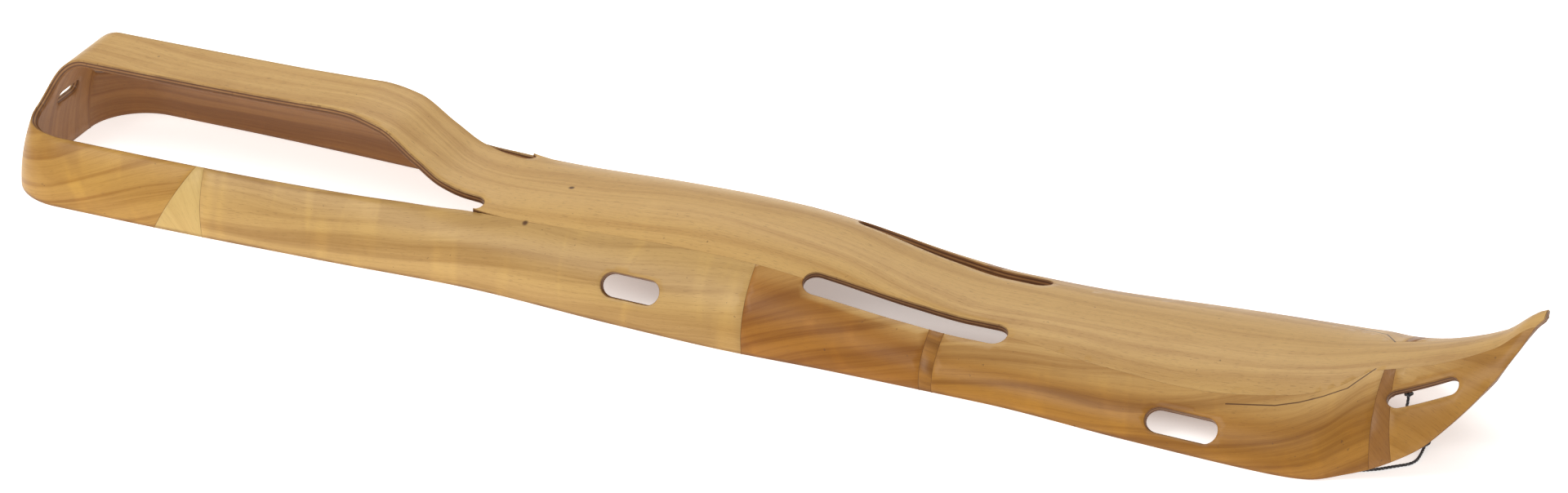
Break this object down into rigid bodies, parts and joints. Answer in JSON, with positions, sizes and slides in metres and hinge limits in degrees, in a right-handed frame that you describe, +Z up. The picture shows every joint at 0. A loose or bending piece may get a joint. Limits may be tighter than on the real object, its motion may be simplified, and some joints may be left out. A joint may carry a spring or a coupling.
{
  "type": "moulded plywood leg splint",
  "caption": "Long trough-shaped moulded plywood splint for a whole leg: closed thigh loop, raised middle strap, side rails, strap slots and an upturned pointed heel",
  "frame": {"origin": "centre of the footprint on the floor it rests on, convex side up", "axes": "+X toward the pointed heel, +Y across, +Z up"},
  "size_m": [1.0678, 0.1786, 0.1029],
  "materials": {
    "face_veneer": "satin clear lacquer, straight grain",
    "pale_veneer": "satin clear lacquer, paler sheet",
    "cross_veneer": "cross-grain veneer, seen on the edges only",
    "core_veneer": "long-grain veneer, seen on the edges only",
    "lining_veneer": "dull thin lacquer on the hollow side",
    "cord": "dark twisted cord, matt"
  },
  "bodies": {
    "root": {"face_back": "face_veneer", "face_rail_far": "face_veneer", "face_rail_near": "face_veneer", "face_insert_far": "pale_veneer", "face_insert_near": "pale_veneer", "face_thigh_far": "face_veneer", "face_thigh_near": "face_veneer", "face_calf_far": "face_veneer", "face_calf_near": "face_veneer", "face_strip_far": "face_veneer", "face_strip_near": "face_veneer", "face_foot_far": "face_veneer", "face_foot_near": "face_veneer", "face_gore_far": "face_veneer", "face_gore_near": "face_veneer", "face_toe_far": "face_veneer", "face_toe_near": "face_veneer", "cross_a_back": "cross_veneer", "cross_a_side_far": "cross_veneer", "cross_a_side_near": "cross_veneer", "core_end": "core_veneer", "core_strap": "core_veneer", "core_neck": "core_veneer", "core_knee": "core_veneer", "core_heel": "core_veneer", "core_side_far": "core_veneer", "core_side_near": "core_veneer", "cross_b_back": "cross_veneer", "cross_b_side_far": "cross_veneer", "cross_b_side_near": "cross_veneer", "lining_back": "lining_veneer", "lining_side_far": "lining_veneer", "lining_side_near": "lining_veneer", "cord": "cord", "cord_knot_low": "cord", "cord_knot_top": "cord"}
  },
  "joints": []
}
